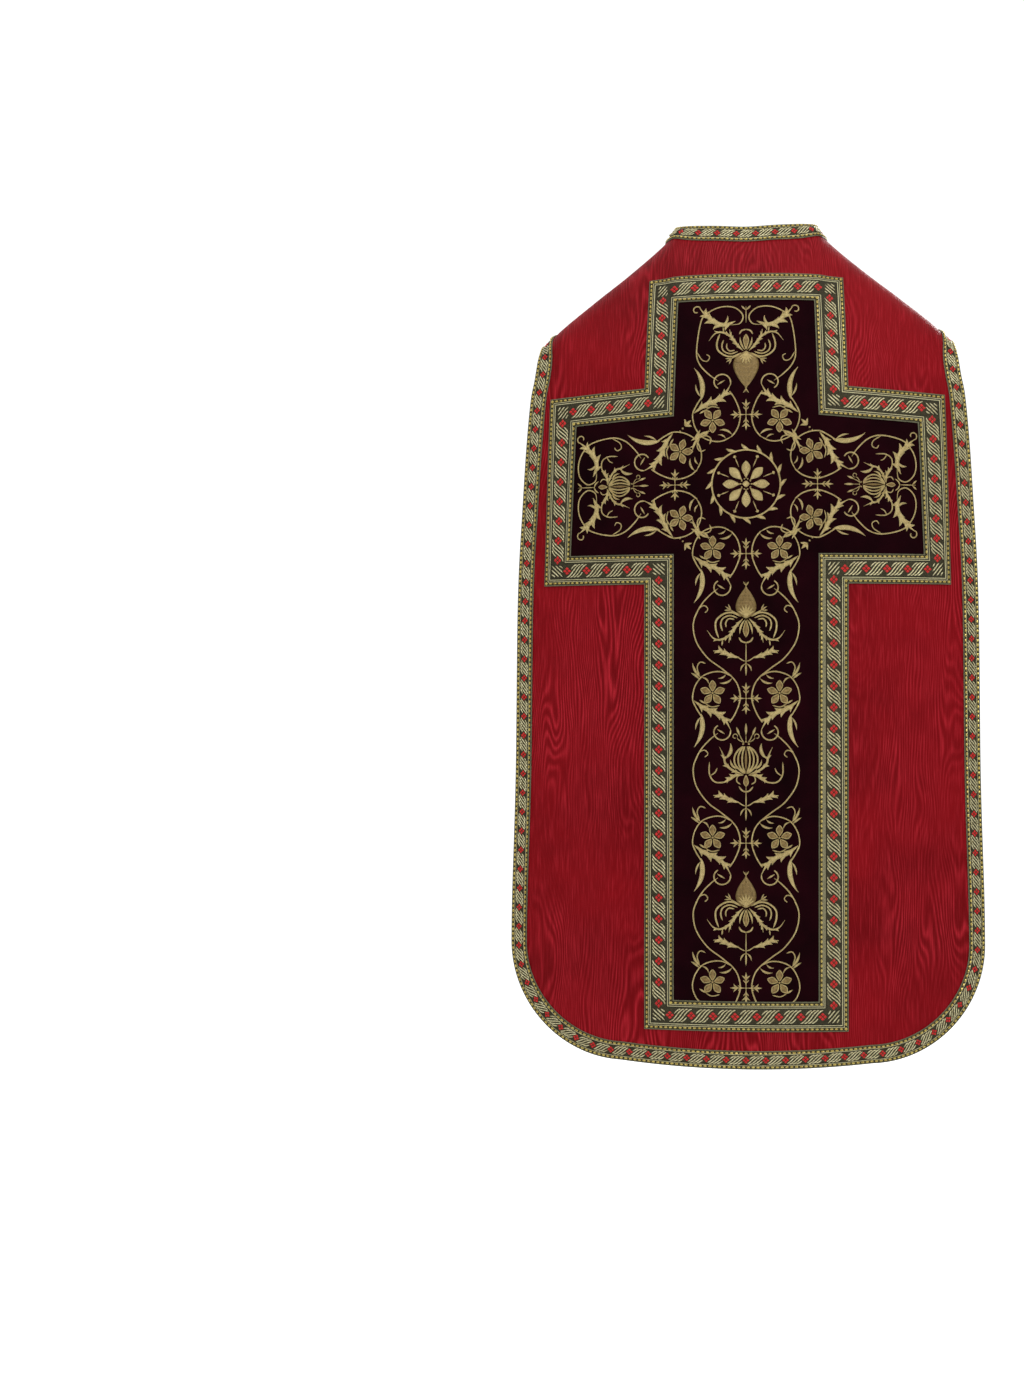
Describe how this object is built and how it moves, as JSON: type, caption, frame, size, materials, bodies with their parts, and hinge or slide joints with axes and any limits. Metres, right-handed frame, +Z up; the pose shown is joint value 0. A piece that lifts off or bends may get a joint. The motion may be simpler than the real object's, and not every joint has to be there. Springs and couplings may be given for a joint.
{
  "type": "roman chasuble",
  "caption": "Roman chasuble in its worn, hollow form: wide rounded back with a velvet cross, waisted front with a column, open neck and sides, edged in woven galloon.",
  "frame": {"origin": "midpoint between the two places where the neck trim crosses the shoulder line, at their height", "axes": "+Z up, the front faces -Y, the back faces +Y, +X towards the wearer's left"},
  "size_m": [0.6252, 0.2473, 1.112],
  "materials": {
    "red_moire": "watered silk",
    "red_lining": "plain matt",
    "dark_velvet": "velvet",
    "gold_galloon": "metallic weave"
  },
  "bodies": {
    "root": {"back_panel": "red_moire", "back_lining": "red_lining", "back_cross": "dark_velvet", "back_cross_galloon": "gold_galloon", "back_edge_galloon": "gold_galloon", "back_neck_galloon": "gold_galloon", "front_panel": "red_moire", "yoke_left": "red_moire", "yoke_right": "red_moire", "front_column": "dark_velvet", "column_galloon_left": "gold_galloon", "column_galloon_right": "gold_galloon", "chest_galloon": "gold_galloon", "front_edge_galloon": "gold_galloon", "neck_galloon_left": "gold_galloon", "neck_galloon_right": "gold_galloon"}
  },
  "joints": []
}
